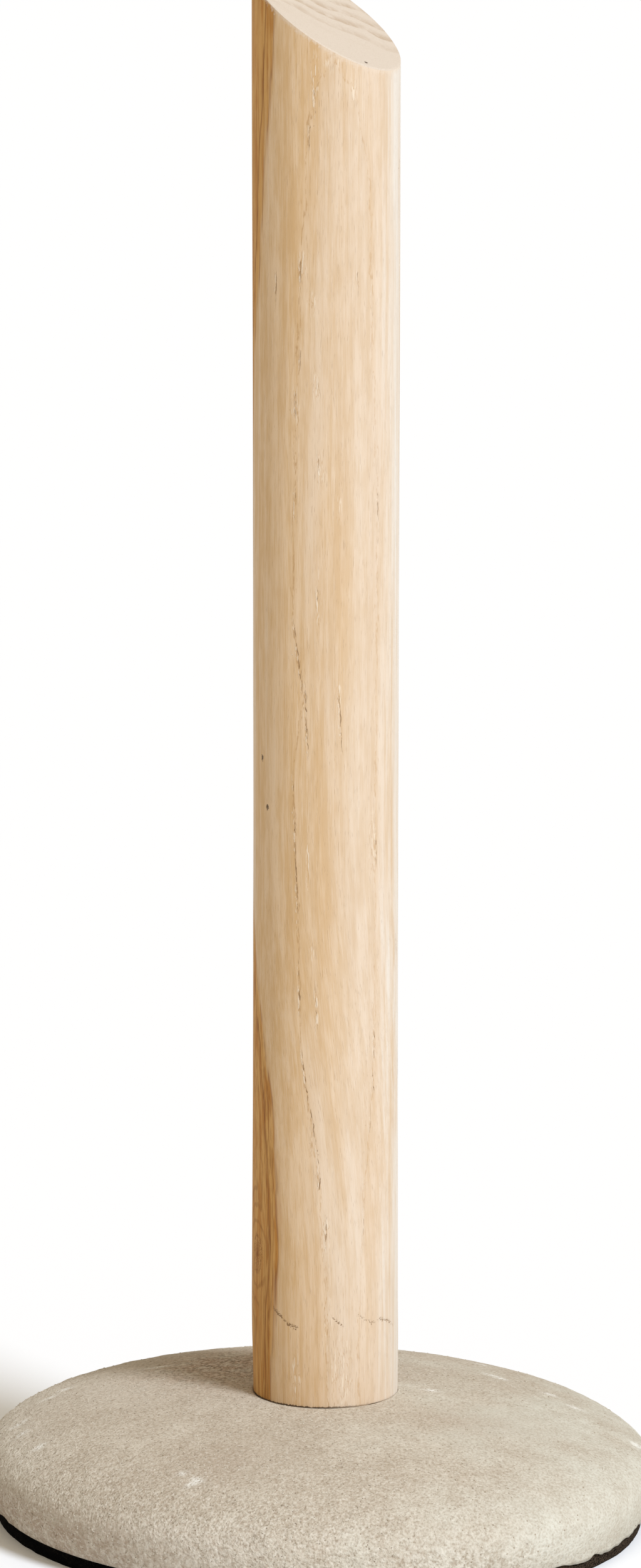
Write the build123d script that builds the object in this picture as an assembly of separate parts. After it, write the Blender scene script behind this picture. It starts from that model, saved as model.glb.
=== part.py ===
"""Paper towel holder: a slant-cut wooden pole bolted on a domed concrete base with a rubber foot.

Millimetres, +Z up. The origin lies on the pole's axis, in the plane of the table.
"""

import os
from math import cos, radians, sqrt

from build123d import *

# Wooden pole
pole_diameter = 30.0
pole_length = 297.0
cut_angle = 34.0
cut_heading = -28.0
pole_edge_rounding = 0.4

# Concrete base: an oval dome, widest a little above its lower edge
base_length = 145.0
base_width = 135.0
base_heading = -45.0
base_shift_x = -1.6
base_shift_y = 0.5
crown_height = 24.4
crown_reach = 43.0
widest_height = 7.9
side_reach = 10.0
tuck_in = 1.9
lower_edge_rounding = 0.8
seat_depth = 0.6
seat_clearance = 0.3

# Rubber foot, cut from sheet and glued under the base
rubber_thickness = 3.0
rubber_inset = 0.9

# M8 bolt with a hexagon head
bolt_diameter = 8.0
bolt_length = 35.0
bolt_tip_chamfer = 0.8
head_flats = 13.0
head_height = 5.3
head_chamfer = 0.6
head_recess = 0.5
bolt_hole_clearance = 0.5

# Washers under the bolt's head
washer_clearance = 0.2
penny_diameter = 24.0
penny_thickness = 2.0
penny_room = 0.75
spring_diameter = 14.8
spring_thickness = 2.0
spring_split = 1.2
spring_split_angle = 25.0

# Threaded insert in the pole's foot
insert_length = 20.0
insert_diameter = 13.0
insert_land = 1.5
ridge_height = 1.4
ridge_width = 1.8
ridge_pitch = 3.2
drive_flats = 10.0
drive_depth = 4.0
thread_clearance = 0.05
tip_room = 2.0

# Radius and heights that follow from the sizes above
pole_radius = pole_diameter / 2
base_bottom = rubber_thickness
seat_height = base_bottom + crown_height - seat_depth
head_bottom = base_bottom + head_recess
head_top = head_bottom + head_height
penny_bottom = head_top + spring_thickness
counterbore_top = penny_bottom + penny_thickness
bolt_tip = head_top + bolt_length
pole_top = seat_height + pole_length


def upright(radius, bottom, top):
    """A round bar on the pole's axis."""
    return Pos(0, 0, bottom) * extrude(Circle(radius), top - bottom)


def hexagon(flats, bottom, top):
    """A six-sided bar on the pole's axis, sized across its flats."""
    return Pos(0, 0, bottom) * extrude(RegularPolygon(flats / 2, 6, major_radius=False), top - bottom)


def set_under_pole(oval):
    """Turn an oval drawn along X to the base's heading, and shift it to its place under the pole."""
    return Pos(base_shift_x, base_shift_y, 0) * Rot(0, 0, base_heading) * oval


def make_pole():
    """Round stick on the seat, sawn off in a plane that falls from the high side of its top."""
    stick = upright(pole_radius, seat_height, pole_top)
    stick = fillet(stick.edges().group_by(Axis.Z)[0], pole_edge_rounding)
    high_side = Pos(0, 0, pole_top) * Rot(0, 0, cut_heading) * Pos(-pole_radius, 0, 0)
    reach = 2 * pole_diameter / cos(radians(cut_angle))
    sawn_off = Box(2 * reach, 2 * reach, reach, align=(Align.CENTER, Align.CENTER, Align.MIN))
    stick -= high_side * Rot(0, cut_angle, 0) * sawn_off
    bore_top = max(bolt_tip, seat_height + insert_length) + tip_room
    bolt_bore = upright(bolt_diameter / 2 + thread_clearance, seat_height, bore_top)
    return stick - make_insert_body() - bolt_bore


def make_base():
    """Cast dome with a flat seat for the pole, a bolt hole, and a counterbore for head and washers."""
    radius = base_length / 2
    foot_radius = radius - tuck_in
    rounding_start = (foot_radius - lower_edge_rounding, 0)
    rounding_end = (foot_radius, lower_edge_rounding)
    widest = (radius, widest_height)
    crown = (0, crown_height)
    outline = [
        Line((0, 0), rounding_start),
        TangentArc(rounding_start, rounding_end, tangent=(1, 0)),
        TangentArc(widest, rounding_end, tangent=(0, -1)),
        Bezier(widest, (radius, widest_height + side_reach), (crown_reach, crown_height), crown),
        Line(crown, (0, 0)),
    ]
    half = Plane.XZ * make_face(outline)
    round_dome = Pos(0, 0, base_bottom) * revolve(half, Axis.Z)
    dome = set_under_pole(scale(round_dome, by=(1, base_width / base_length, 1)))
    seat = upright(pole_radius + seat_clearance, seat_height, seat_height + 2 * seat_depth)
    hole = upright(bolt_diameter / 2 + bolt_hole_clearance, base_bottom, seat_height)
    counterbore = upright(penny_diameter / 2 + penny_room, base_bottom, counterbore_top)
    return dome - seat - hole - counterbore


def make_foot():
    """Oval rubber sheet, set in a little from the lower edge of the base."""
    half_length = base_length / 2 - tuck_in - rubber_inset
    outline = Ellipse(half_length, half_length * base_width / base_length)
    return set_under_pole(extrude(outline, rubber_thickness))


def make_bolt():
    """Hexagon head with its corners turned off, and a plain shank at the thread's outer diameter."""
    head = hexagon(head_flats, head_bottom, head_top)
    corner_radius = head_flats / sqrt(3)
    turned = upright(corner_radius, head_bottom, head_top)
    turned = chamfer(turned.edges().group_by(Axis.Z)[0], head_chamfer)
    shank = upright(bolt_diameter / 2, head_top, bolt_tip)
    shank = chamfer(shank.edges().group_by(Axis.Z)[-1], bolt_tip_chamfer)
    return (head & turned) + shank


def make_washer(diameter, bottom, thickness):
    """Flat ring round the bolt."""
    bore = upright(bolt_diameter / 2 + washer_clearance, bottom, bottom + thickness)
    return upright(diameter / 2, bottom, bottom + thickness) - bore


def make_spring_washer():
    """Split ring, drawn flat as it is when the bolt is tight."""
    ring = make_washer(spring_diameter, head_top, spring_thickness)
    middle = Pos(spring_diameter / 2, 0, head_top + spring_thickness / 2)
    slit = Box(spring_diameter, spring_split, 4 * spring_thickness)
    return ring - middle * Rot(spring_split_angle, 0, 0) * slit


def make_insert_body():
    """Outside of the insert: a sleeve with ridges that bite into the wood."""
    sleeve_radius = insert_diameter / 2
    body = upright(sleeve_radius, seat_height, seat_height + insert_length)
    ridge_room = insert_length - 2 * insert_land - ridge_width
    for index in range(int(ridge_room // ridge_pitch) + 1):
        low = seat_height + insert_land + index * ridge_pitch
        tooth = Polyline(
            (0, low),
            (sleeve_radius, low),
            (sleeve_radius + ridge_height, low + ridge_width / 2),
            (sleeve_radius, low + ridge_width),
            (0, low + ridge_width),
            close=True,
        )
        body += revolve(Plane.XZ * make_face(tooth), Axis.Z)
    return body


def make_insert():
    """Threaded insert: the ridged sleeve with a bore for the bolt and a hexagon socket for the driver."""
    bore = upright(bolt_diameter / 2 + thread_clearance, seat_height, seat_height + insert_length)
    socket = hexagon(drive_flats, seat_height, seat_height + drive_depth)
    return make_insert_body() - bore - socket


nodes = {
    "pole": make_pole(),
    "base": make_base(),
    "rubber_foot": make_foot(),
    "threaded_insert": make_insert(),
    "fixing_bolt": make_bolt(),
    "penny_washer": make_washer(penny_diameter, penny_bottom, penny_thickness),
    "spring_washer": make_spring_washer(),
}

os.makedirs("parts", exist_ok=True)
for name, solid in nodes.items():
    solid.label = name
    export_step(solid, f"parts/{name}.step")
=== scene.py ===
"""Looks of a paper towel holder: a slant-cut wooden pole on a domed concrete base with a rubber foot."""

import math

import bpy
import numpy as np
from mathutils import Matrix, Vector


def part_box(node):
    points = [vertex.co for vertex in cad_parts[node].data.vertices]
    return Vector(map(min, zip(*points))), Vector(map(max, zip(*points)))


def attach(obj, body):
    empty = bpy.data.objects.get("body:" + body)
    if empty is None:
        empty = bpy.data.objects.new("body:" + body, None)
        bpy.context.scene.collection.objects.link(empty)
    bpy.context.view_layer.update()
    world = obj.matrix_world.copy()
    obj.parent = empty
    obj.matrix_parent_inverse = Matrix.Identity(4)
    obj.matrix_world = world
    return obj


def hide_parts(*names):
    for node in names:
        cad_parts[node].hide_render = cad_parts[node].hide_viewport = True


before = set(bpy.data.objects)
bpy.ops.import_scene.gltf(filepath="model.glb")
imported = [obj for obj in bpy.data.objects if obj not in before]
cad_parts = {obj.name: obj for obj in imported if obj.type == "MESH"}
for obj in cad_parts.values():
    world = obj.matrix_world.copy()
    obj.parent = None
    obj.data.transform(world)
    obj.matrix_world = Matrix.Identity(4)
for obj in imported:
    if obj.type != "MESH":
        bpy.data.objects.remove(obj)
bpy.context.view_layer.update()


# Pole: a round stick of pale, open-grained hardwood, turned, sanded by hand and left raw. Its top is sawn
# off at a slant and its foot is bored for the threaded insert. Drying opened short checks along the grain.
# Turns are degrees round the stick: 0 is its front and positive is to the right.
mm = 0.001
pole_low, pole_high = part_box("pole")
pole_radius = (pole_high.x - pole_low.x) / 2
cut_fall = math.tan(math.radians(34))
cut_heading = math.radians(-28)
pole_sizes = {
    "Radius": pole_radius,
    "Foot Height": pole_low.z,
    "Top Height": pole_high.z,
    "Cut Fall": cut_fall,
    "Cut Heading": cut_heading,
    "Arris": 0.22 * mm,
    "Foot Rounding": 0.2 * mm,
    "Insert Pocket Radius": 8.1 * mm,
    "Insert Pocket Top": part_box("threaded_insert")[1].z + 0.2 * mm,
    "Bolt Pocket Radius": 4.3 * mm,
    "Bolt Pocket Top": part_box("fixing_bolt")[1].z + 1.5 * mm,
    "Faces Around": 400,
    "Faces Up": 172,
    "End Rings": 20,
}

# Hand sanding left a thin waist, and the stick is bowed by a hair: heights, and changes in millimetres.
waist_heights = [0.028, 0.040, 0.060, 0.086, 0.112, 0.145, 0.178, 0.217, 0.281, 0.324]
waist_thinning = [0, -0.15, -0.08, 0.02, 0.07, 0.13, 0.11, 0.07, -0.01, -0.02]
bow_heights = [0.030, 0.046, 0.125, 0.200, 0.324]
bow_rightward = [0, -0.15, 0, 0.11, 0.13]

# Drying checks: turn at the top, drift on the way down, top and bottom height, half-width in millimetres.
drying_checks = [
    (-10, 2, 0.3015, 0.2945, 0.10),
    (-13, 0, 0.2930, 0.2880, 0.13),
    (-20, 0, 0.2670, 0.2595, 0.10),
    (-42, -1, 0.2635, 0.2560, 0.10),
    (25, 1, 0.2640, 0.2585, 0.08),
    (38, 0, 0.2625, 0.2535, 0.08),
    (-20, -1, 0.2480, 0.2430, 0.08),
    (-7, 3, 0.2420, 0.2375, 0.05),
    (-24, -1, 0.2390, 0.2335, 0.12),
    (-7, 3, 0.2280, 0.2195, 0.06),
    (-25, 0, 0.2200, 0.2120, 0.10),
    (44, 1, 0.2195, 0.2110, 0.09),
    (-7, 1, 0.2020, 0.1910, 0.06),
    (-27, 9, 0.1930, 0.1760, 0.11),
    (-17, 3, 0.1800, 0.1628, 0.10),
    (10, 3, 0.1785, 0.1640, 0.10),
    (-27, 5, 0.1620, 0.1260, 0.11),
    (43, 1, 0.1500, 0.1400, 0.10),
    (-22, 2, 0.1220, 0.1085, 0.10),
    (-9, 3, 0.1186, 0.1045, 0.06),
    (-20, 7, 0.1040, 0.0905, 0.10),
    (-12, 7, 0.0915, 0.0790, 0.10),
    (-5, 1, 0.0800, 0.0720, 0.11),
    (1, 0, 0.0670, 0.0605, 0.14),
    (42, 0, 0.1075, 0.0990, 0.08),
    (40, 2, 0.0980, 0.0930, 0.10),
    (39, -2, 0.0930, 0.0770, 0.05),
    (33, -2, 0.0725, 0.0580, 0.05),
]

# A check colours the wood this far to each side, in millimetres. All points farther off count alike.
check_reach = 1.3
far_from_checks = 2.0
back_check_count = 34

# One growth ring surfaces on the front as a pale flame: heights and turns of its left and right edges.
flame_left_heights = [
    0.027, 0.047, 0.072, 0.103, 0.126, 0.162, 0.176, 0.192, 0.225, 0.264, 0.288, 0.300, 0.307,
]
flame_left_turns = [2, 1, -4, -20, -22, -27, -18, -27, -25, -20, -15, -10, 5]
flame_right_heights = [0.027, 0.047, 0.072, 0.099, 0.145, 0.216, 0.255, 0.280, 0.299, 0.307]
flame_right_turns = [27, 28, 33, 42, 43, 44, 38, 36, 23, 5]

# Brown heartwood surfaces on the left, at the foot and again under the slanted end.
heart_heights = [0.027, 0.047, 0.060, 0.073, 0.092, 0.112, 0.135, 0.200, 0.245, 0.260, 0.280, 0.299, 0.318]
heart_right_turns = [-47, -43, -38, -40, -47, -64, -87, -92, -76, -64, -56, -48, -43]
heart_left_turns = [-150, -150, -148, -144, -136, -124, -104, -92, -100, -106, -112, -116, -120]

# A beetle gnawed along under the bark and left a thin brown track: turns, heights in millimetres, strength.
track_turns = [-45, -44, -40, -36, -31, -22, -21, 5, 6, 14, 15, 26, 27, 34, 41, 43, 49, 59, 67, 69]
track_heights = [
    47.4, 47.2, 46.4, 45.6, 44.5, 43.8, 43.8, 46.3, 46.3, 44.4,
    44.4, 46.3, 46.3, 45.2, 44.3, 44.3, 44.7, 43.8, 42.6, 42.4,
]
track_strength = [0, 1, 0.9, 0.9, 0.8, 0.8, 0, 0, 0.4, 0.4, 0, 0, 0.4, 0.2, 0.7, 0.2, 0.4, 0.5, 0.3, 0]

# Small holes, darkened with painted shade: turn, height, and radius and inset in millimetres. The last is a
# nick in the sawn end.
holes = [(-60, 0.1624, 0.42, 0), (-53, 0.1524, 0.4, 0), (36, 0.3054, 0.36, 1.15)]
hole_squash = 0.6

# Painted shade darkens the stick's foot along the joint with the base, mostly at the front left.
joint_height = pole_low.z + 0.28 * mm

# Places where the tool tore the grain: turn, height, and half-width and half-height in millimetres.
torn_places = [
    (-24, 0.033, 1.2, 6),
    (13, 0.034, 2.6, 8),
    (2, 0.046, 0.9, 6),
    (-9, 0.303, 1.0, 5),
    (6, 0.306, 2.2, 1.6),
    (21, 0.300, 0.7, 3),
    (-19, 0.264, 1.0, 4),
    (-11, 0.257, 1.2, 2.5),
    (-8, 0.240, 1.0, 3),
    (-25, 0.236, 1.0, 4),
    (-5, 0.223, 0.9, 4),
    (10, 0.215, 0.6, 3),
    (-6, 0.196, 0.6, 6),
    (10, 0.177, 0.6, 3),
    (-17, 0.173, 0.5, 6),
    (-14, 0.142, 0.4, 8),
    (-11, 0.123, 0.7, 1.2),
    (-7, 0.111, 0.5, 6),
    (1, 0.064, 1.0, 5),
    (40, 0.145, 1.0, 7),
]

# A knot lies under the surface in the brown heartwood.
knot_turn = -68
knot_height = 0.0575
knot_squash = 0.55


class Field:
    """A value, colour or shape on its way through a node tree. Arithmetic on it adds Math nodes."""

    def __init__(self, tree, socket=None):
        self.tree = tree
        self.socket = socket

    def add(self, kind, settings, sockets, output=0):
        """Adds any other node: its type, its settings, and the values or links of its sockets."""
        node = self.tree.nodes.new(kind)
        for name, value in settings.items():
            setattr(node, name, value)
        for name, value in sockets.items():
            if isinstance(value, Field):
                self.tree.links.new(value.socket, node.inputs[name])
            else:
                node.inputs[name].default_value = value
        return Field(self.tree, node.outputs[output] if node.outputs else None)

    def math(self, operation, *values):
        return self.add("ShaderNodeMath", {"operation": operation}, dict(enumerate(values)))

    def __add__(self, other):
        return self.math("ADD", self, other)

    def __sub__(self, other):
        return self.math("SUBTRACT", self, other)

    def __rsub__(self, other):
        return self.math("SUBTRACT", other, self)

    def __mul__(self, other):
        return self.math("MULTIPLY", self, other)

    def __truediv__(self, other):
        return self.math("DIVIDE", self, other)

    def __rtruediv__(self, other):
        return self.math("DIVIDE", other, self)

    def __gt__(self, other):
        return self.math("GREATER_THAN", self, other)

    def __lt__(self, other):
        return self.math("LESS_THAN", self, other)

    def __abs__(self):
        return self.math("ABSOLUTE", self)

    __radd__ = __add__
    __rmul__ = __mul__


def new_finish(name):
    """A material, and the place on its surface in millimetres."""
    material = bpy.data.materials.new(name)
    material.use_nodes = True
    material.node_tree.nodes.clear()
    metres = Field(material.node_tree).add("ShaderNodeTexCoord", {}, {}, "Object")
    place = metres.add("ShaderNodeVectorMath", {"operation": "SCALE"}, {0: metres, "Scale": 1 / mm})
    return material, place


def mottle(place, size, detail=2.0, shift=0.0):
    """Cloudy noise about 0.5. Its clouds are about as large as size, in millimetres along X, Y and Z."""
    sockets = {0: place, 1: tuple(1 / length for length in size), 2: (shift,) * 3}
    moved = place.add("ShaderNodeVectorMath", {"operation": "MULTIPLY_ADD"}, sockets)
    return place.add("ShaderNodeTexNoise", {}, {"Vector": moved, "Scale": 1.0, "Detail": detail}, "Fac")


def rise(value, start, end):
    """0 at start, 1 at end, level past them and smooth in between. The end may be the lower one."""
    limits = {"Value": value, "From Min": start, "From Max": end}
    return value.add("ShaderNodeMapRange", {"interpolation_type": "SMOOTHSTEP"}, limits)


def blend(share, colour, other):
    """Goes from one colour to another as share goes from 0 to 1."""
    return share.add("ShaderNodeMix", {"data_type": "RGBA"}, {"Factor": share, 6: colour, 7: other}, 2)


def read_trait(place, name):
    """A trait that the mesh carries at its points or faces."""
    return place.add("ShaderNodeAttribute", {"attribute_name": name}, {}, "Fac")


def finish_surface(material, colour, roughness, relief, relief_depth, gloss, metallic=0.0):
    """Closes a material: colour, roughness, and a bump whose full height is relief_depth millimetres."""
    bump = relief.add("ShaderNodeBump", {}, {"Height": relief, "Distance": relief_depth * mm})
    sockets = {"Base Color": colour, "Roughness": roughness, "Normal": bump}
    sockets |= {"Specular IOR Level": gloss, "Metallic": metallic}
    surface = relief.add("ShaderNodeBsdfPrincipled", {}, sockets)
    relief.add("ShaderNodeOutputMaterial", {}, {"Surface": surface})


# Raw wood: fibres and pores run up the stick, growth rings cross it, and the sawn end shows both end on.
wood, place = new_finish("raw_wood")
wood_tan = (0.606, 0.396, 0.196, 1)
wood_cream = (0.714, 0.521, 0.329, 1)
sap_tan = (0.636, 0.492, 0.346, 1)
sap_cream = (0.708, 0.581, 0.450, 1)
end_cream = (0.640, 0.545, 0.440, 1)
end_tan = (0.490, 0.375, 0.265, 1)
heart_orange = (0.58, 0.318, 0.096, 1)
heart_brown = (0.45, 0.190, 0.030, 1)
heart_dark = (0.22, 0.070, 0.004, 1)
pore_brown = (0.42, 0.255, 0.120, 1)
fleck_cream = (0.80, 0.675, 0.520, 1)
slit_shade_and_track_brown = (0.24, 0.135, 0.058, 1)
halo_brown = (0.47, 0.280, 0.125, 1)
side_light_grey = (0.73, 0.67, 0.585, 1)
shade_brown = (0.07, 0.040, 0.020, 1)
pith = (-17, 52, 0)
ring_spacing = 3.6
sap_heading = (0.85, -0.5, 0)
lean_top = 150
lean_foot = 45
grain_lean = 8.0

spot = place.add("ShaderNodeSeparateXYZ", {}, {0: place}).socket.node
across, _, up = (Field(place.tree, socket) for socket in spot.outputs)
side = 1 - read_trait(place, "sawn")

# Towards the foot the grain runs out to the right.
run_out = place.add("ShaderNodeCombineXYZ", {}, {"X": rise(up, lean_top, lean_foot) * grain_lean})
grain = place.add("ShaderNodeVectorMath", {"operation": "SUBTRACT"}, {0: place, 1: run_out})
fibre = mottle(grain, (0.22, 0.22, 5), detail=3.0)
strand = mottle(grain, (0.9, 0.9, 32), detail=3.0, shift=11.0)
sweep = mottle(grain, (4, 4, 80), detail=2.0, shift=23.0)
glimmer = mottle(grain, (1.8, 1.8, 7), detail=3.0, shift=31.0)

# Growth rings, one every few millimetres from the heart of the trunk, which lay behind the stick.
on_plan = place.add("ShaderNodeVectorMath", {"operation": "MULTIPLY"}, {0: place, 1: (1, 1, 0)})
pith_gap = place.add("ShaderNodeVectorMath", {"operation": "DISTANCE"}, {0: on_plan, 1: pith}, "Value")
ring_wander = mottle(place, (9, 9, 60), detail=2.0, shift=5.0) * 5.0
year = place.math("FRACT", (pith_gap + ring_wander) / ring_spacing)
ring = rise(year, 0.25, 0.92) * rise(year, 1.0, 0.92)

# The pale flame has a ticked edge and the right is sapwood. Painted light makes the stick's right side, as
# seen from the front, paler in streaks, and its left side a little paler.
flame_wander = (mottle(place, (1.0, 1.0, 5), detail=3.0, shift=19.0) - 0.5) * 3.0
flame_room = read_trait(place, "flame_room") + flame_wander
flame = rise(flame_room, -0.4, 0.4)
tick = mottle(place, (0.35, 0.35, 1.3), detail=2.0, shift=7.0)
flame_edge = rise(abs(flame_room), 0.3, 0.05) * rise(tick, 0.40, 0.6)
tone = fibre * 0.26 + strand * 0.28 + sweep * 0.24 + glimmer * 0.22
light = rise(tone, 0.39, 0.61)
sun_sockets = {0: place, 1: sap_heading}
sun_side = place.add("ShaderNodeVectorMath", {"operation": "DOT_PRODUCT"}, sun_sockets, "Value")
sapwood = rise(sun_side + flame * 2.0 + (sweep - 0.5) * 12.0, 1, 19)
side_wood = blend(sapwood, blend(light, wood_tan, wood_cream), blend(light, sap_tan, sap_cream))
side_wood = blend(ring * 0.08 + flame_edge * (0.75 - sapwood * 0.5), side_wood, halo_brown)
streaky = (strand - 0.5) * 5.0 + (sweep - 0.5) * 6.0
# Painted light: paler streaks down the right side, weaker ones down the left side.
painted_side_light = rise(across + streaky, 11.0, 16.0) * 0.9 + rise(across - streaky, -12, -16) * 0.3
side_wood = blend(painted_side_light, side_wood, side_light_grey)
end_ring = ring * rise(pith_gap + glimmer * 8.0, 67, 59) * rise(sweep + glimmer, 0.7, 1.2)
end_wood = blend(end_ring * 0.9 + rise(fibre, 0.45, 0.75) * 0.25, end_cream, end_tan)
colour = blend(side, end_wood, side_wood)


def gap_from(turn, height, squash, inset=0.0):
    """Distance in millimetres from a place on the stick, or inset from there, with heights squashed."""
    heading = math.radians(turn)
    reach = pole_radius / mm - inset
    centre = (reach * math.sin(heading), -reach * math.cos(heading), height * squash / mm)
    flat = place.add("ShaderNodeVectorMath", {"operation": "MULTIPLY"}, {0: place, 1: (1, 1, squash)})
    return place.add("ShaderNodeVectorMath", {"operation": "DISTANCE"}, {0: flat, 1: centre}, "Value")


# Heartwood: dark lines follow its edges and its fibres, and its rings bend round the knot.
heart_wander = (mottle(place, (1.6, 1.6, 14), detail=2.0, shift=47.0) - 0.5) * 2.4
heart_room = read_trait(place, "heart_room") + heart_wander
gnawed = mottle(place, (0.5, 0.5, 0.35), detail=2.0, shift=91.0)
heart_line = rise(mottle(grain, (0.34, 0.34, 20), detail=2.0, shift=41.0), 0.50, 0.64)
edge_line = rise(abs(heart_room - 0.3), 0.4, 0.05) + rise(abs(heart_room - 2.7), 0.5, 0.05)
knot_gap = gap_from(knot_turn, knot_height, knot_squash)
knot = rise(knot_gap + (gnawed - 0.5) * 6.0, 2.6, 0.4)
ring_room = place.math("SMOOTH_MIN", heart_room, knot_gap - 0.5, 2.0)
heart_ring = rise(place.math("SINE", ring_room * 3.4 + glimmer * 5.0), 0.45, 1.0) * rise(knot_gap, 40, 12)
heart_wood = blend(rise(strand + glimmer * 0.6, 0.70, 1.0), heart_orange, heart_brown)
heart_figure = heart_line * 0.35 + heart_ring * 0.35 + edge_line * 0.6 + knot * 0.55
heart_wood = blend(heart_figure, heart_wood, heart_dark)
heart = rise(heart_room + (strand - 0.5) * 3.0, -0.9, 1.3)
heart *= rise(strand + sweep + edge_line * 0.4, 0.25, 0.80)
colour = blend(heart * side * 0.95, colour, heart_wood)

# Open pores, and slivers that the tool tore up, with painted shade along their edges.
pore = rise(mottle(grain, (0.15, 0.15, 2.4), detail=1.0, shift=57.0), 0.64, 0.76)
colour = blend(pore * rise(strand, 0.42, 0.65) * 0.35, colour, pore_brown)
sliver = mottle(place, (0.3, 0.3, 2.6), detail=1.0, shift=71.0)
rough = read_trait(place, "torn") * side
torn = rise(sliver, 0.56, 0.64) * rough
# Painted shade round the raised slivers.
torn_edge_shade = rise(abs(sliver - 0.515), 0.03, 0.012) * rise(tick, 0.42, 0.52) * rough
colour = blend(torn_edge_shade * 0.6, colour, halo_brown)
colour = blend(torn * 0.7, colour, fleck_cream)

# A check is a slit in a brown halo, with a pale fleck on one side; the slit is painted shade in the open
# crack.
check_wander = (mottle(place, (0.7, 0.7, 1.8), detail=2.0, shift=83.0) - 0.5) * 0.7
check_apart = read_trait(place, "check_apart") + check_wander
check_open = read_trait(place, "check_open") * side * rise(glimmer + fibre * 0.5, 0.5, 0.72)
halo = rise(check_open * 3.5 - abs(check_apart), 0.0, 0.4)
check = rise(check_open - abs(check_apart), 0.0, 0.07) * rise(tick, 0.42, 0.56)
fleck = rise(check_open * 2.6 - abs(check_apart + 0.28), 0.0, 0.12) * rise(tick, 0.52, 0.42)
colour = blend(halo * 0.4, colour, halo_brown)
colour = blend(fleck * 0.55, colour, fleck_cream)
# Painted shade in the open slit of the check.
colour = blend(check * 0.9, colour, slit_shade_and_track_brown)

# The saw frayed the edge of the slanted end.
fray = (tick - 0.5) * 2.2 + (gnawed - 0.5) * 2.0
frayed = rise(read_trait(place, "under_cut") + fray, 1.4, 0.0) * side
colour = blend(frayed * 0.7, colour, sap_cream)

# The beetle's track, painted shade in the holes, and painted shade along the joint with the base.
track_over = read_trait(place, "track_over") + (gnawed - 0.5) * 2.4
track = rise(read_trait(place, "track_strength") * 0.4 - abs(track_over), -0.05, 0.15)
track *= rise(gnawed + fibre, 0.8, 1.1) * side
colour = blend(track * 0.95, colour, slit_shade_and_track_brown)
hole = track
for hole_turn, hole_height, hole_radius, inset in holes:
    apart = gap_from(hole_turn, hole_height, hole_squash, inset) + (gnawed - 0.5) * 0.8
    pierced = rise(apart, hole_radius * 1.3, hole_radius * 0.6)
    # Painted shade fills the hole.
    colour = blend(pierced * 0.9, colour, shade_brown)
    hole = place.math("MAXIMUM", hole, pierced)
# Painted shade: the lowest band of the stick, at the joint, darkened at the front left.
joint_shade = rise(up - joint_height / mm + (gnawed - 0.5) * 0.7, 0.2, 0.02) * rise(across, 13, -2)
colour = blend(joint_shade * 0.9, colour, shade_brown)

relief = fibre * 0.5 + strand * 0.3 - pore * 0.4 + torn * 0.3 + fleck * 0.5 - check * 1.2 - hole * 0.8
finish_surface(wood, colour, 0.88 - fibre * 0.15, relief, relief_depth=0.07, gloss=0.3)


def shape_rule(name, sizes):
    """A Geometry Nodes tree with one named input for each size, and those inputs as Fields."""
    tree = bpy.data.node_groups.new(name, "GeometryNodeTree")
    tree.interface.new_socket("Shape", in_out="OUTPUT", socket_type="NodeSocketGeometry")
    tree.interface.new_socket("Shape", in_out="INPUT", socket_type="NodeSocketGeometry")
    for title, value in sizes.items():
        kind = "NodeSocketInt" if isinstance(value, int) else "NodeSocketFloat"
        tree.interface.new_socket(title, in_out="INPUT", socket_type=kind)
    entry = tree.nodes.new("NodeGroupInput")
    return tree, {socket.name: Field(tree, socket) for socket in entry.outputs}


def grow(name, mesh, shape, material, sizes):
    """Ends a tree with real faces and their material, runs it on a mesh and keeps the result."""
    real = shape.add("GeometryNodeRealizeInstances", {}, {"Geometry": shape})
    dressed = shape.add("GeometryNodeSetMaterial", {}, {"Geometry": real, "Material": material})
    shape.add("NodeGroupOutput", {}, {"Shape": dressed})
    piece = bpy.data.objects.new(name, mesh)
    bpy.context.scene.collection.objects.link(piece)
    modifier = piece.modifiers.new(name, "NODES")
    modifier.node_group = shape.tree
    for socket in shape.tree.interface.items_tree:
        if socket.name in sizes:
            modifier[socket.identifier] = sizes[socket.name]
    shaped = piece.evaluated_get(bpy.context.evaluated_depsgraph_get())
    plain = bpy.data.meshes.new_from_object(shaped)
    piece.modifiers.remove(modifier)
    piece.data = plain
    return piece


# Shape of the stick: a drum whose rows lean more and more up to the sawn end, with a narrow arris round it.
# At the foot the inner rings are pushed up, which makes the pockets for the insert and the bolt.
tree, size = shape_rule("slant_cut_stick", pole_sizes)
drum_sockets = {
    "Vertices": size["Faces Around"],
    "Side Segments": size["Faces Up"],
    "Fill Segments": size["End Rings"],
    "Radius": size["Radius"],
    "Depth": 1.0,
}
drum = size["Shape"].add("GeometryNodeMeshCylinder", {"fill_type": "TRIANGLE_FAN"}, drum_sockets)
sawn_foot = Field(tree, drum.socket.node.outputs["Bottom"])
point = drum.add("GeometryNodeInputPosition", {}, {})
split = point.add("ShaderNodeSeparateXYZ", {}, {0: point}).socket.node
x, y, z = (Field(tree, socket) for socket in split.outputs)
row = 1 / size["Faces Up"]
share = z + 0.5
at_end = share > 1 - row * 0.5
at_foot = share < row * 0.5
narrowed = 1 - (at_end * size["Arris"] + at_foot * size["Foot Rounding"]) / size["Radius"]
x, y = x * narrowed, y * narrowed
downhill = x * point.math("COSINE", size["Cut Heading"]) + y * point.math("SINE", size["Cut Heading"])
cut_height = size["Top Height"] - size["Cut Fall"] * (size["Radius"] + downhill)
climb = point.math("MINIMUM", point.math("MAXIMUM", (share - row) / (1 - 2 * row), 0.0), 1.0)
reach = point.math("SQRT", x * x + y * y)
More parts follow.
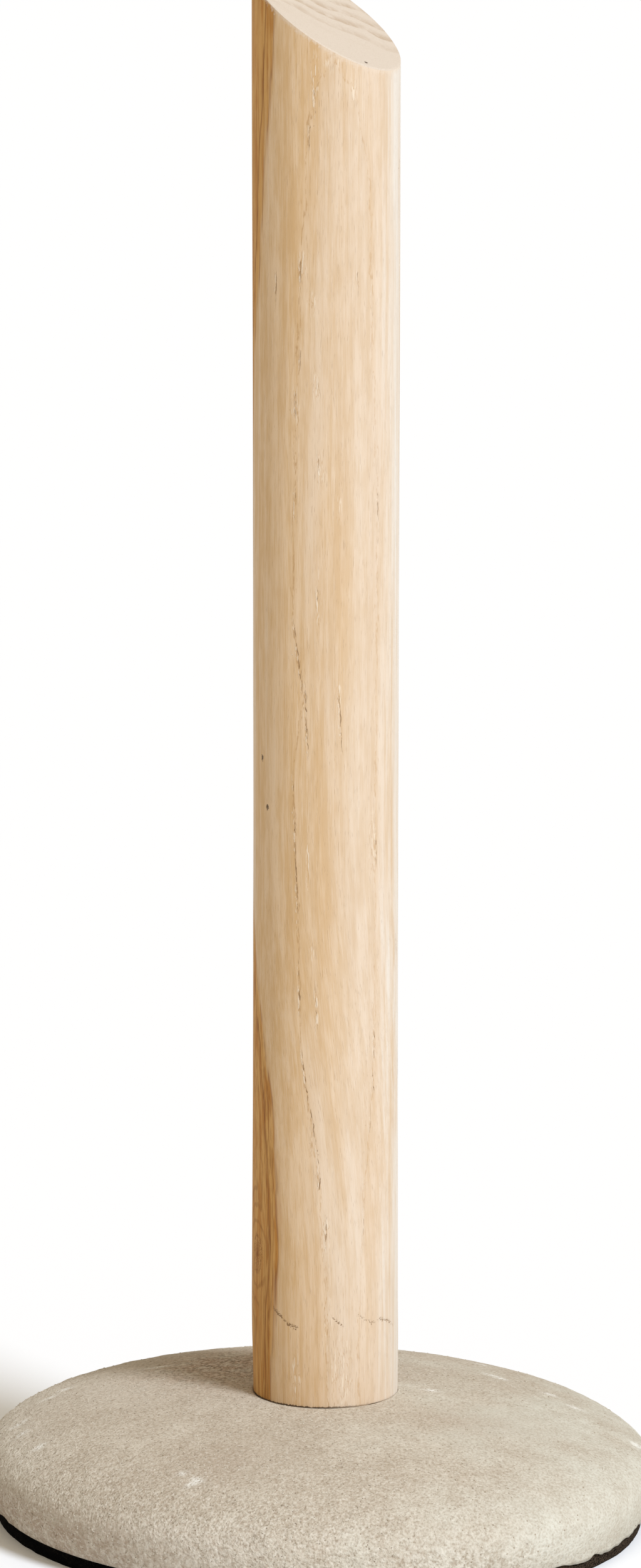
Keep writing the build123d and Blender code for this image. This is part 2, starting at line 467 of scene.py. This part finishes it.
insert_pocket = (reach < size["Insert Pocket Radius"]) * (size["Insert Pocket Top"] - size["Foot Height"])
bolt_pocket = (reach < size["Bolt Pocket Radius"]) * (size["Bolt Pocket Top"] - size["Insert Pocket Top"])
lowest_row = size["Foot Height"] + (1 - at_foot) * size["Foot Rounding"]
height = lowest_row + climb * (cut_height - (1 - at_end) * size["Arris"] - lowest_row)
height = height + at_foot * (insert_pocket + bolt_pocket)
placed = point.add("ShaderNodeCombineXYZ", {}, {"X": x, "Y": y, "Z": height})
sawn = {"Geometry": drum, "Name": "sawn", "Value": sawn_foot + (share > 1 - row * 0.75)}
marked = drum.add("GeometryNodeStoreNamedAttribute", {"domain": "FACE"}, sawn)
stick = marked.add("GeometryNodeSetPosition", {}, {"Geometry": marked, "Position": placed})
pole = grow("pole_wood", bpy.data.meshes.new("stick"), stick, wood, pole_sizes)


def points_of(piece):
    """The piece's points, one row each."""
    points = np.empty(3 * len(piece.data.vertices))
    piece.data.vertices.foreach_get("co", points)
    return points.reshape(-1, 3)


def give_trait(piece, name, values):
    """Lets the piece's points carry a trait that its material reads."""
    attribute = piece.data.attributes.new(name, "FLOAT", "POINT")
    attribute.data.foreach_set("value", np.ravel(values).astype(np.float32))


def lattice_noise(points, cell, seed):
    """Smooth random values from -1 to 1 in space, from one random number at each corner of a lattice."""
    place = points / cell
    low = np.floor(place).astype(np.int64)
    share = place - low
    share = share * share * (3 - 2 * share)
    corner_primes = np.array([73856093, 19349663, 83492791])
    seed_prime = 2654435761
    mixing_prime = 1274126177
    total = np.zeros(len(points))
    for corner in np.ndindex(2, 2, 2):
        key = (low + corner) @ corner_primes + seed * seed_prime
        key = (key ^ (key >> 13)) * mixing_prime
        value = ((key ^ (key >> 16)) & 0xFFFF) / 32767.5 - 1
        total += value * np.prod(np.where(corner, share, 1 - share), axis=-1)
    return total


# Wear of the stick: the thin waist, the hand-sanded unevenness and the raised grain.
points = points_of(pole)
height = points[:, 2]
turn = np.degrees(np.arctan2(points[:, 0], -points[:, 1]))
inward = np.interp(height, waist_heights, waist_thinning)
inward += 0.05 * lattice_noise(points, [0.010, 0.010, 0.050], seed=3)
inward += 0.012 * lattice_noise(points, [0.0006, 0.0006, 0.016], seed=4)
points[:, :2] *= 1 - (inward * mm / pole_radius)[:, None]
points[:, 0] += np.interp(height, bow_heights, bow_rightward) * mm
pole.data.vertices.foreach_set("co", points.ravel())
pole.data.shade_smooth()
pole.data.set_sharp_from_angle(angle=math.radians(20))


def arc_length(degrees):
    """Length round the stick, in millimetres."""
    return np.radians(degrees) * pole_radius / mm


def room_between(left_turns, left_heights, right_turns, right_heights):
    """How far inside two edges that wander up the stick a point lies, in millimetres, up to a limit."""
    limit = 8
    left = np.interp(height, left_heights, left_turns)
    right = np.interp(height, right_heights, right_turns)
    return np.clip(arc_length(np.minimum(turn - left, right - turn)), -limit, limit)


random = np.random.default_rng(12)
back_checks = []
for top in np.linspace(0.06, 0.30, back_check_count):
    start = random.uniform(70, 290)
    drift = random.uniform(-4, 4)
    bottom = top - random.uniform(0.005, 0.016)
    half_width = random.uniform(0.07, 0.14)
    back_checks.append((start, drift, top, bottom, half_width))
check_apart = np.full(len(points), far_from_checks)
check_open = np.zeros(len(points))
for start, drift, top, bottom, half_width in drying_checks + back_checks:
    along = (height - bottom) / (top - bottom)
    apart = arc_length((turn - start - drift * (1 - along) + 180) % 360 - 180)
    close = (abs(along - 0.5) < 0.8) & (abs(apart) < check_reach) & (abs(apart) < abs(check_apart))
    check_apart = np.where(close, apart, check_apart)
    check_open = np.where(close, half_width * np.sin(np.pi * np.clip(along, 0, 1)) ** 0.6, check_open)
give_trait(pole, "check_apart", check_apart)
give_trait(pole, "check_open", check_open)

# Flame, heartwood, torn places, the beetle's track, and the depth under the sawn end.
flame_room = room_between(flame_left_turns, flame_left_heights, flame_right_turns, flame_right_heights)
heart_room = room_between(heart_left_turns, heart_heights, heart_right_turns, heart_heights)
give_trait(pole, "flame_room", flame_room)
give_trait(pole, "heart_room", heart_room)
torn = np.zeros(len(points))
for middle, level, half_width, half_height in torn_places:
    apart = (arc_length(turn - middle) / half_width) ** 2 + ((height - level) / mm / half_height) ** 2
    torn = np.maximum(torn, np.clip(1.3 - apart, 0, 1))
give_trait(pole, "torn", torn)
give_trait(pole, "track_over", np.clip(height / mm - np.interp(turn, track_turns, track_heights), -4, 4))
give_trait(pole, "track_strength", np.interp(turn, track_turns, track_strength))
downhill = points[:, 0] * math.cos(cut_heading) + points[:, 1] * math.sin(cut_heading)
cut_height = pole_high.z - cut_fall * (pole_radius + downhill)
give_trait(pole, "under_cut", np.clip((cut_height - height) / mm, -1, 9))
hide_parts("pole")
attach(pole, "root")


# Base: a heavy oval dome cast in sandy concrete, with a flat seat for the pole, a bolt hole, and a
# counterbore for the bolt's head and washers. Hand casting left it a little lumpy, with pits, scuffs and a
# crumbling edge.
base_low, base_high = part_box("base")
base_length = 145 * mm
base_width = 135 * mm
base_heading = math.radians(-45)
base_middle = np.array([(base_low.x + base_high.x) / 2, (base_low.y + base_high.y) / 2])
crown_height = base_low.z + 24.4 * mm
crown_reach = 43 * mm
widest_height = base_low.z + 7.9 * mm
side_reach = 10 * mm
tuck_in = 1.9 * mm
lower_edge_rounding = 0.8 * mm
seat_radius = pole_radius + 0.06 * mm
seat_dip = 0.22 * mm
seat_dip_width = 0.35 * mm
seat_height = pole_low.z
bolt_hole_radius = 4.5 * mm
counterbore_radius = 12.75 * mm
counterbore_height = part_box("penny_washer")[1].z

rim_reach = 24 * mm
base_columns = 620
dome_rows = 112
flank_rows = 18
rim_rows = 18

profile_steps = 400
base_turns = np.linspace(0, 2 * np.pi, base_columns, endpoint=False)
half_length = base_length / 2


def round_ring(radius, height):
    """A ring about the pole's axis."""
    x, y = radius * np.sin(base_turns), -radius * np.cos(base_turns)
    return np.stack([x, y, np.full(base_columns, height)], axis=-1)


def oval_ring(radius, height):
    """A ring that follows the base's oval. Its radius is counted along the long axis."""
    bearing = base_turns - np.pi / 2 - base_heading
    along, aside = radius * np.cos(bearing), radius * np.sin(bearing) * base_width / base_length
    x = base_middle[0] + along * math.cos(base_heading) - aside * math.sin(base_heading)
    y = base_middle[1] + along * math.sin(base_heading) + aside * math.cos(base_heading)
    return np.stack([x, y, np.full(base_columns, height)], axis=-1)


def oval_reach(points):
    """How far out a point lies, counted along the oval's long axis."""
    x, y = points[..., 0] - base_middle[0], points[..., 1] - base_middle[1]
    along = x * math.cos(base_heading) + y * math.sin(base_heading)
    aside = (y * math.cos(base_heading) - x * math.sin(base_heading)) * base_length / base_width
    return np.hypot(along, aside)


def skin(name, rings, ends=None):
    """A closed piece through rings of points. It ends on two points, or its last ring joins its first."""
    rows, around = rings.shape[:2]
    row, column = np.ogrid[: rows - 1 if ends else rows, :around]
    above, beside = (row + 1) % rows * around, (column + 1) % around
    here = row * around
    quads = np.stack([here + column, here + beside, above + beside, above + column], axis=-1)
    faces = quads.reshape(-1, 4).tolist()
    points = rings.reshape(-1, 3).tolist()
    if ends:
        first, last, top = rows * around, rows * around + 1, (rows - 1) * around
        points += ends
        for column in range(around):
            beside = (column + 1) % around
            faces += [[first, beside, column], [top + column, top + beside, last]]
    mesh = bpy.data.meshes.new(name)
    mesh.from_pydata(points, [], faces)
    mesh.shade_smooth()
    piece = bpy.data.objects.new(name, mesh)
    bpy.context.scene.collection.objects.link(piece)
    return piece


# Profile of the dome from its crown to its widest line, a cubic curve.
way = np.linspace(0, 1, profile_steps)
rest = 1 - way
profile_reach = 3 * rest**2 * way * crown_reach + (3 * rest * way**2 + way**3) * half_length
profile_height = (
    (rest**3 + 3 * rest**2 * way) * crown_height
    + 3 * rest * way**2 * (widest_height + side_reach)
    + way**3 * widest_height
)
travelled = np.append(0, np.cumsum(np.hypot(np.diff(profile_reach), np.diff(profile_height))))
stations = np.linspace(travelled[-1], np.interp(rim_reach, profile_reach, travelled), dome_rows)
dome = [
    oval_ring(np.interp(station, travelled, profile_reach), np.interp(station, travelled, profile_height))
    for station in stations
]

# Flank under the widest line, an arc that tucks in to the lower edge.
flank_drop = widest_height - base_low.z - lower_edge_rounding
flank_radius = (flank_drop**2 + tuck_in**2) / (2 * tuck_in)
flank = []
for drop in np.linspace(flank_drop, 0, flank_rows, endpoint=False):
    inset = flank_radius - math.sqrt(flank_radius**2 - drop**2)
    flank.append(oval_ring(half_length - inset, widest_height - drop))
lower_radius = half_length - tuck_in
bevel = 0.3 * lower_edge_rounding
lower_edge = [
    oval_ring(lower_radius - lower_edge_rounding, base_low.z),
    oval_ring(lower_radius - bevel, base_low.z + bevel),
]

# Rim, from an oval ring in to the round seat. The joint with the pole gapes a little at the front left.
gap_bearings = [0, 25, 50, 60, 260, 300, 340, 360]
gap_shares = [1, 0.7, 0.2, 0, 0, 0.7, 1, 1]
seat_gap = np.interp(np.degrees(base_turns), gap_bearings, gap_shares)
rim = []
for share in np.linspace(0, 1, rim_rows + 1)[1:] ** 0.6:
    ring = oval_ring(rim_reach, 0) * (1 - share) + round_ring(seat_radius, 0) * share
    ring[:, 2] = np.interp(oval_reach(ring), profile_reach, profile_height)
    from_seat = np.hypot(ring[:, 0], ring[:, 1]) - seat_radius
    ring[:, 2] -= seat_dip * seat_gap * np.exp(-((from_seat / seat_dip_width) ** 2))
    rim.append(ring)

cast = np.array(lower_edge + flank + dome + rim)
cored = np.array([
    round_ring(seat_radius, seat_height),
    round_ring(bolt_hole_radius, seat_height),
    round_ring(bolt_hole_radius, counterbore_height),
    round_ring(counterbore_radius, counterbore_height),
    round_ring(counterbore_radius, base_low.z),
])

# Weathering of the cast face, as shares at its points. Places are millimetres right of and behind the
# pole. The lower edge is worn, the left has coarse, bare sand and brown soil, and the right is bleached.
# Behind the pole, on its left, the face is pocked and browner. Painted light makes the left edge, the low
# front left and the top left paler.
face = cast.reshape(-1, 3)
right, back = face[:, 0] / mm, face[:, 1] / mm
over_edge = (face[:, 2] - base_low.z) / mm
under_crown = (base_high.z - face[:, 2]) / mm
front = np.clip(-face[:, 1] / half_length, 0, 1)


def part_way(value, start, end):
    """0 at start, 1 at end, level past them and straight in between. The end may be the lower one."""
    return np.clip((value - start) / (end - start), 0, 1)


def near(middle_right, middle_back, half_width, half_depth):
    """1 at a place on the dome, fading with the distance from it."""
    return np.exp(-(((right - middle_right) / half_width) ** 2) - ((back - middle_back) / half_depth) ** 2)


worn = part_way(over_edge, 11.7, 2.7) * np.clip(0.1 + front, 0, 1) * part_way(right, 60, 32)
worn *= np.clip(0.55 + 0.9 * lattice_noise(face, 0.011, seed=21), 0, 1)
coarse = part_way(under_crown, 1.8, 10.8) * np.clip(0.85 - right / 90, 0.3, 1)
sandy = (0.5 + 0.5 * coarse) * np.clip(0.9 - right / 80, 0.25, 1) * np.clip(1.2 - back / 40, 0.12, 1)
sandy = sandy.reshape(cast.shape[:2])
sandy[: len(lower_edge)] = 0
sandy[-1] = 0
pocked = near(-20, 22, 18, 19)
soiled = 0.75 * pocked + part_way(over_edge, 12, 6) * part_way(right, -12, -52)
soiled += 0.5 * near(-22, -44, 14, 9) + 0.4 * near(29, -20, 14, 9)
# Painted light: paler on the low front left, along the left edge and at the top left.
painted_left_light = part_way(over_edge, 14, 9) * np.exp(-(((right + 28) / 18) ** 2)) * np.clip(front * 3, 0, 1)
painted_left_light += part_way(right, -52, -66) * part_way(over_edge, 9, 14) + 0.6 * near(-42, 12, 14, 16)
bleached = right / 60 + 0.8 * near(-42, 6, 14, 12)
bleached += 0.7 * part_way(right, -56, -66) * part_way(over_edge, 7, 12)

# Pits: place and radius. Painted shade darkens the pits and the gap round the pole, which are also dipped.
pits = [(-18.7, -58, 0.35), (-14.5, -66.2, 0.5), (-12.8, -67.3, 0.35)]
from_seat = np.hypot(right, back) - seat_radius / mm
pit_shade = np.exp(-((from_seat / 0.3) ** 2)) * np.tile(seat_gap, len(cast))
for pit_right, pit_back, pit_radius in pits:
    pit_shade = np.maximum(pit_shade, near(pit_right, pit_back, pit_radius, pit_radius) * (0.5 + 0.5 * pit_radius))

# Chalky scuffs: place, length and bearing.
scuffs = [
    (-35, 26, 5, 10),
    (-58, 14.6, 4, 40),
    (-55, 19, 4, 35),
    (-64, 1.1, 4, 35),
    (-63, -6.6, 3, 40),
    (-59, -17.7, 3, 20),
    (-27, -50, 3, 30),
    (-26, -49, 3, -50),
    (-29, -45.6, 2, 60),
    (35, 20.6, 4, -35),
    (37, 18, 3, -40),
    (33, 35, 3, -20),
    (47, 10, 3, -30),
    (64.5, -7, 4, 60),
    (22, 0, 3, -20),
    (52, 3, 3, -15),
]
scuff_half_width = 0.9
scuff = np.zeros(len(face))
for scuff_right, scuff_back, length, bearing in scuffs:
    heading = math.radians(bearing)
    along = (right - scuff_right) * math.cos(heading) + (back - scuff_back) * math.sin(heading)
    aside = (back - scuff_back) * math.cos(heading) - (right - scuff_right) * math.sin(heading)
    scuff = np.maximum(scuff, np.exp(-((along / length * 2) ** 2) - (aside / scuff_half_width) ** 2))

# Relief in millimetres along the normals: lumps, coarse sand, worn band, crumbling edge and pits.
around = np.roll(cast, -1, axis=1) - np.roll(cast, 1, axis=1)
normals = np.cross(around, np.gradient(cast, axis=0)).reshape(-1, 3)
normals /= np.linalg.norm(normals, axis=-1, keepdims=True) + 1e-12
relief = 0.14 * lattice_noise(face, 0.024, seed=22)
relief += 0.05 * lattice_noise(face, 0.006, seed=23)
relief += (0.03 + 0.13 * coarse) * lattice_noise(face, 0.0021, seed=24)
relief += (0.02 + 0.12 * coarse) * lattice_noise(face, 0.0013, seed=25)
relief -= worn * (0.10 + 0.2 * lattice_noise(face, 0.0022, seed=26))
relief -= worn * 0.15 * lattice_noise(face, 0.0012, seed=27)
right_front = np.clip((face[:, 0] - face[:, 1]) / half_length - 0.7, 0, 0.5)
crumble = part_way(over_edge, 1.6, 0) * (0.5 + 0.5 * lattice_noise(face, 0.0035, seed=28))
relief -= (0.3 + 0.6 * right_front) * crumble * (0.6 + 0.4 * lattice_noise(face, 0.0014, seed=29))
relief -= 0.35 * pit_shade
face += normals * (relief * mm)[:, None]

# On the right the cement ran a little over the edge of the foot. The lowest ring stays flat.
overrun = part_way(right, 42, 52) * part_way(front, 0.12, 0.32)
overrun *= np.clip(0.5 + 0.9 * lattice_noise(face, 0.0024, seed=30), 0, 1)
face[:, 2] -= 0.85 * mm * overrun * np.clip(1.6 - over_edge, 0, 1.4)
cast[0] = lower_edge[0]

base = skin("base_concrete", np.vstack([cast, cored]))
traits = {"worn": worn, "coarse": coarse, "sandy": sandy, "pocked": pocked, "soiled": soiled}
traits |= {"painted_left_light": painted_left_light, "bleached": bleached, "pit_shade": pit_shade, "scuff": scuff}
for name, values in traits.items():
    give_trait(base, name, np.append(values, np.zeros(cored.shape[:2])))

# Sandy concrete: grey paste, browner on the left, with dark and pale sand, soft clouds and chalky scuffs.
concrete, place = new_finish("sandy_concrete")
paste_dark = (0.438, 0.363, 0.272, 1)
paste_pale = (0.628, 0.565, 0.459, 1)
grey_dark = (0.478, 0.427, 0.335, 1)
grey_pale = (0.646, 0.620, 0.523, 1)
soil_brown = (0.330, 0.235, 0.160, 1)
orange_brown = (0.440, 0.230, 0.110, 1)
sand_dark = (0.17, 0.120, 0.075, 1)
sand_pale = (0.82, 0.77, 0.67, 1)
chalk = (0.84, 0.82, 0.75, 1)

# Paste in clouds and patches, greyer where it is bleached, with soil, and painted light on the left.
cloud = mottle(place, (17, 17, 17), detail=4.0, shift=3.0)
patch = mottle(place, (4.5, 4.5, 4.5), detail=3.0, shift=13.0)
grit = mottle(place, (0.55, 0.55, 0.55), detail=3.0, shift=29.0)
dust = mottle(place, (0.25, 0.25, 0.25), detail=2.0, shift=37.0)
grey = rise(read_trait(place, "bleached") + (cloud - 0.5) * 1.8, 0.05, 1.15)
soil = read_trait(place, "soiled") * rise(patch + grit * 0.4, 0.48, 0.80)
worn_share = read_trait(place, "worn")
coarse_share = read_trait(place, "coarse")
light = rise(cloud * 0.22 + patch * 0.22 + grit * 0.44 + dust * 0.12, 0.34, 0.66)
colour = blend(grey, blend(light, paste_dark, paste_pale), blend(light, grey_dark, grey_pale))
# Painted light: paler on the low front left, along the left edge and at the top left.
colour = blend(read_trait(place, "painted_left_light") * 0.35, colour, sand_pale)
colour = blend(soil * 0.7, colour, soil_brown)

# Sand in the paste: fine dark and pale grains and pebbles, with painted shade in the low places of the
# surface. Bleached paste shows less of it.
speck = 1 - grey * 0.7
dark_grain = rise(mottle(place, (0.33, 0.33, 0.33), detail=1.0, shift=43.0) + worn_share * 0.05, 0.62, 0.72)
pale_grain = rise(mottle(place, (0.35, 0.35, 0.35), detail=1.0, shift=61.0), 0.60, 0.72)
hollow_shade = rise(grit, 0.46, 0.30)
# Painted shade in the low places of the grit.
colour = blend((hollow_shade * 0.25 + dark_grain * 0.34) * speck, colour, sand_dark)
colour = blend(pale_grain * 0.28 * speck, colour, sand_pale)
pebble = mottle(place, (0.8, 0.8, 0.8), detail=1.0, shift=75.0)
pebbly = (1.2 - grey) * (0.17 + coarse_share * 0.13)
colour = blend(rise(pebble, 0.52, 0.70) * pebbly, colour, sand_pale)
colour = blend(rise(pebble, 0.46, 0.28) * pebbly, colour, soil_brown)

# The worn band; the pocked place, browner and more orange, with painted shade in its cavities and painted
# light on their lips; painted shade in the pits and the gap; and scuffs.
lump = mottle(place, (1.2, 1.2, 1.2), detail=3.0, shift=53.0)
colour = blend(worn_share * rise(lump + grit * 0.5, 0.74, 0.60) * 0.45, colour, soil_brown)
colour = blend(worn_share * rise(lump, 0.48, 0.62) * 0.6, colour, sand_pale)
cavity_shade_and_lip_light = mottle(place, (0.8, 0.8, 0.8), detail=1.0, shift=67.0)
pocked_share = read_trait(place, "pocked")
# Behind the pole, on its left, the face is made browner and more orange.
colour = blend(pocked_share * rise(patch + grit * 0.5, 0.55, 0.95) * 0.35, colour, orange_brown)
# Painted shade in the small cavities, and painted light on their lips.
colour = blend(pocked_share * rise(cavity_shade_and_lip_light, 0.54, 0.58) * 0.8, colour, sand_dark)
colour = blend(pocked_share * rise(cavity_shade_and_lip_light, 0.42, 0.34) * 0.5, colour, sand_pale)
# Painted shade in the pits and in the gap round the pole.
colour = blend(read_trait(place, "pit_shade") * 0.75, colour, sand_dark)
colour = blend(read_trait(place, "scuff") * rise(grit + dust, 0.75, 1.05), colour, chalk)
relief = grit * (0.25 + coarse_share * 0.6) + lump * (coarse_share + worn_share) * 0.5
relief += dust * 0.08 + patch * 0.25
finish_surface(concrete, colour, 0.95 - grit * 0.1, relief, relief_depth=0.5, gloss=0.25)
base.data.materials.append(concrete)
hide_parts("base")
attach(base, "root")


# Sand that stands out of the dome, where the paste has washed off: grains half sunk in the cast face. Most
# of them are brown and cream quartz.
def sow(name, sizes, material):
    """Strews grains over the base's sandy faces, as one piece."""
    tree, size = shape_rule(name, sizes)
    trait = {"data_type": "FLOAT"}
    sandy_share = size["Shape"].add("GeometryNodeInputNamedAttribute", trait, {"Name": "sandy"})
    density = size["Grains per Square Metre"] * sandy_share.math("POWER", sandy_share, size["Gathering"])
    strewn = {"Mesh": size["Shape"], "Density": density, "Seed": size["Seed"]}
    spots = size["Shape"].add("GeometryNodeDistributePointsOnFaces", {}, strewn)
    facing = Field(tree, spots.socket.node.outputs["Rotation"])
    width_range = {2: size["Smallest"], 3: size["Largest"], "Seed": size["Seed"]}
    width = spots.add("FunctionNodeRandomValue", {"data_type": "FLOAT"}, width_range, 1)
    shape = spots.add("ShaderNodeCombineXYZ", {}, {"X": width, "Y": width, "Z": width * size["Flatness"]})
    grain = spots.add("GeometryNodeMeshIcoSphere", {}, {"Radius": 1.0, "Subdivisions": 1})
    lay = {"Points": spots, "Instance": grain, "Rotation": facing, "Scale": shape}
    piece = grow(name, base.data, spots.add("GeometryNodeInstanceOnPoints", {}, lay), material, sizes)
    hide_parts("base")
    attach(piece, "root")


quartz, place = new_finish("quartz_sand")
quartz_brown = (0.36, 0.295, 0.212, 1)
quartz_cream = (0.62, 0.565, 0.468, 1)
stone = mottle(place, (1.1, 1.1, 1.1), detail=1.0, shift=7.0)
crystal = mottle(place, (0.2, 0.2, 0.2), detail=2.0, shift=15.0)
colour = blend(rise(stone, 0.36, 0.60), quartz_brown, quartz_cream)
finish_surface(quartz, colour, 0.95 - crystal * 0.2, crystal, relief_depth=0.1, gloss=0.25)
quartz_sizes = {
    "Grains per Square Metre": 760000.0,
    "Smallest": 0.08 * mm,
    "Largest": 0.24 * mm,
    "Flatness": 0.6,
    "Gathering": 1.0,
    "Seed": 5,
}
sow("base_quartz", quartz_sizes, quartz)

# A few grains are dark and finer.
basalt, place = new_finish("basalt_sand")
basalt_brown = (0.15, 0.105, 0.065, 1)
basalt_grey = (0.29, 0.235, 0.175, 1)
colour = blend(mottle(place, (1, 1, 1)), basalt_brown, basalt_grey)
finish_surface(basalt, colour, 0.9, mottle(place, (0.2, 0.2, 0.2)), relief_depth=0.1, gloss=0.2)
basalt_sizes = {
    "Grains per Square Metre": 160000.0,
    "Smallest": 0.07 * mm,
    "Largest": 0.15 * mm,
    "Flatness": 0.9,
    "Gathering": 2.0,
    "Seed": 8,
}
sow("base_basalt", basalt_sizes, basalt)


# Fixing: a zinc-plated insert screwed into the pole's foot, and an M8 bolt that clamps the base up to it
# over a spring washer and a penny washer. All of it is hidden when the holder stands.
zinc, place = new_finish("zinc_plate")
zinc_pale = (0.66, 0.67, 0.68, 1)
zinc_blue = (0.47, 0.50, 0.55, 1)
spangle = mottle(place, (2.2, 2.2, 2.2))
drawn = mottle(place, (0.25, 0.25, 0.04), detail=2.0, shift=17.0)
colour = blend(rise(spangle, 0.3, 0.7), zinc_blue, zinc_pale)
finish_surface(zinc, colour, 0.28 + drawn * 0.25, drawn, relief_depth=0.02, gloss=0.5, metallic=0.95)
for node in ("threaded_insert", "fixing_bolt", "penny_washer", "spring_washer"):
    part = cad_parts[node]
    part.data.materials.clear()
    part.data.materials.append(zinc)


# Rubber foot: black cellular rubber, cut to the base's oval from 3 mm sheet and glued on. Its cut edge
# bulges a little under the weight and holds cement dust.
foot_low, foot_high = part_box("rubber_foot")
rubber_inset = 0.9 * mm
rubber_radius = lower_radius - rubber_inset
edge_bulge = 0.25 * mm
edge_rows = 9
flat_shares = (0.05, 0.5, 0.9, 0.985)
foot_rings = [oval_ring(rubber_radius * share, foot_low.z) for share in flat_shares]
for share in np.linspace(0, 1, edge_rows):
    swell = edge_bulge * (math.sin(math.pi * share) ** 0.6 - 1)
    foot_rings.append(oval_ring(rubber_radius + swell, foot_low.z + (foot_high.z - foot_low.z) * share))
foot_rings += [oval_ring(rubber_radius * share, foot_high.z) for share in reversed(flat_shares)]
foot_rings = np.array(foot_rings)
edge_start = len(flat_shares)
edge_end = edge_start + edge_rows
edge = foot_rings[edge_start:edge_end].reshape(-1, 3)
uneven = 0.12 * lattice_noise(edge, 0.003, seed=41) + 0.06 * lattice_noise(edge, 0.0011, seed=42) - 0.1
edge[:, :2] *= 1 + (uneven * mm / rubber_radius)[:, None]
foot = skin("foot_rubber", foot_rings, ends=[[*base_middle, foot_low.z], [*base_middle, foot_high.z]])
cut_edge = np.zeros(len(foot.data.vertices))
cut_edge[edge_start * base_columns : edge_end * base_columns] = 1
give_trait(foot, "cut_edge", cut_edge)

rubber, place = new_finish("black_rubber")
rubber_black = (0.0015, 0.0014, 0.0013, 1)
rubber_brown = (0.011, 0.009, 0.007, 1)
dusty_brown = (0.060, 0.042, 0.028, 1)
cell = mottle(place, (0.35, 0.35, 0.22))
smear = mottle(place, (5, 5, 1.2), detail=3.0, shift=9.0)
colour = blend(rise(cell + smear * 0.7, 0.80, 1.2), rubber_black, rubber_brown)
across = place.add("ShaderNodeSeparateXYZ", {}, {0: place}, "X")
dusty = rise(across + smear * 20, 35, 60) * read_trait(place, "cut_edge")
colour = blend(dusty * rise(cell, 0.35, 0.6), colour, dusty_brown)
finish_surface(rubber, colour, 0.85 + cell * 0.15, cell, relief_depth=0.2, gloss=0.015)
foot.data.materials.append(rubber)
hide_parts("rubber_foot")
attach(foot, "root")


# Studio: a white floor, even warm light all round, and one large soft lamp high on the front right.
floor_size = 30.0
floor_corners = [
    (-floor_size, -floor_size, 0),
    (floor_size, -floor_size, 0),
    (floor_size, floor_size, 0),
    (-floor_size, floor_size, 0),
]
floor_mesh = bpy.data.meshes.new("floor")
floor_mesh.from_pydata(floor_corners, [], [(0, 1, 2, 3)])
floor = bpy.data.objects.new("floor", floor_mesh)
bpy.context.scene.collection.objects.link(floor)
paper_white = (0.97, 0.985, 1.0, 1)
paper = bpy.data.materials.new("white_paper")
paper.use_nodes = True
paper_surface = paper.node_tree.nodes["Principled BSDF"].inputs
paper_surface["Base Color"].default_value = paper_white
paper_surface["Roughness"].default_value = 1.0
paper_surface["Specular IOR Level"].default_value = 0.0
floor_mesh.materials.append(paper)

room_light = 0.50
room_tint = (1.0, 0.88, 0.69, 1)
room_white = (1.0, 1.0, 1.0, 1)
world = bpy.data.worlds.new("studio")
world.use_nodes = True
bpy.context.scene.world = world
world.node_tree.nodes.clear()
path = Field(world.node_tree)
seen = path.add("ShaderNodeLightPath", {}, {}, "Is Camera Ray")
mirrored = path.add("ShaderNodeLightPath", {}, {}, "Is Glossy Ray")
through = path.add("ShaderNodeLightPath", {}, {}, "Is Transmission Ray")
shown = path.math("MINIMUM", seen + mirrored + through, 1.0)
sky_colour = blend(shown, room_tint, room_white)
sky_strength = room_light + shown * (1 - room_light)
sky = path.add("ShaderNodeBackground", {}, {"Color": sky_colour, "Strength": sky_strength})
path.add("ShaderNodeOutputWorld", {}, {"Surface": sky})

lamp_bearing = math.radians(42)
lamp_elevation = math.radians(42)
lamp_data = bpy.data.lights.new("key_lamp", "SUN")
lamp_data.energy = 2.7
lamp_data.color = (0.93, 1.0, 1.13)
lamp_data.angle = math.radians(15)
lamp = bpy.data.objects.new("key_lamp", lamp_data)
lamp.rotation_euler = (math.pi / 2 - lamp_elevation, 0, lamp_bearing)
bpy.context.scene.collection.objects.link(lamp)


# Camera: as the photograph was taken, from in front and a little above, with a long lens.
camera_tilt = math.radians(11.253)
camera_turn = math.radians(0.034)
camera_data = bpy.data.cameras.new("camera")
camera_data.sensor_width = 36.0
camera_data.lens = 201.1
camera_data.clip_end = 100.0
camera = bpy.data.objects.new("camera", camera_data)
camera.location = (0, -1.7645, 0.5065)
camera.rotation_euler = (math.pi / 2 - camera_tilt, 0, camera_turn)
bpy.context.scene.collection.objects.link(camera)
bpy.context.scene.camera = camera
bpy.context.scene.view_settings.view_transform = "Standard"
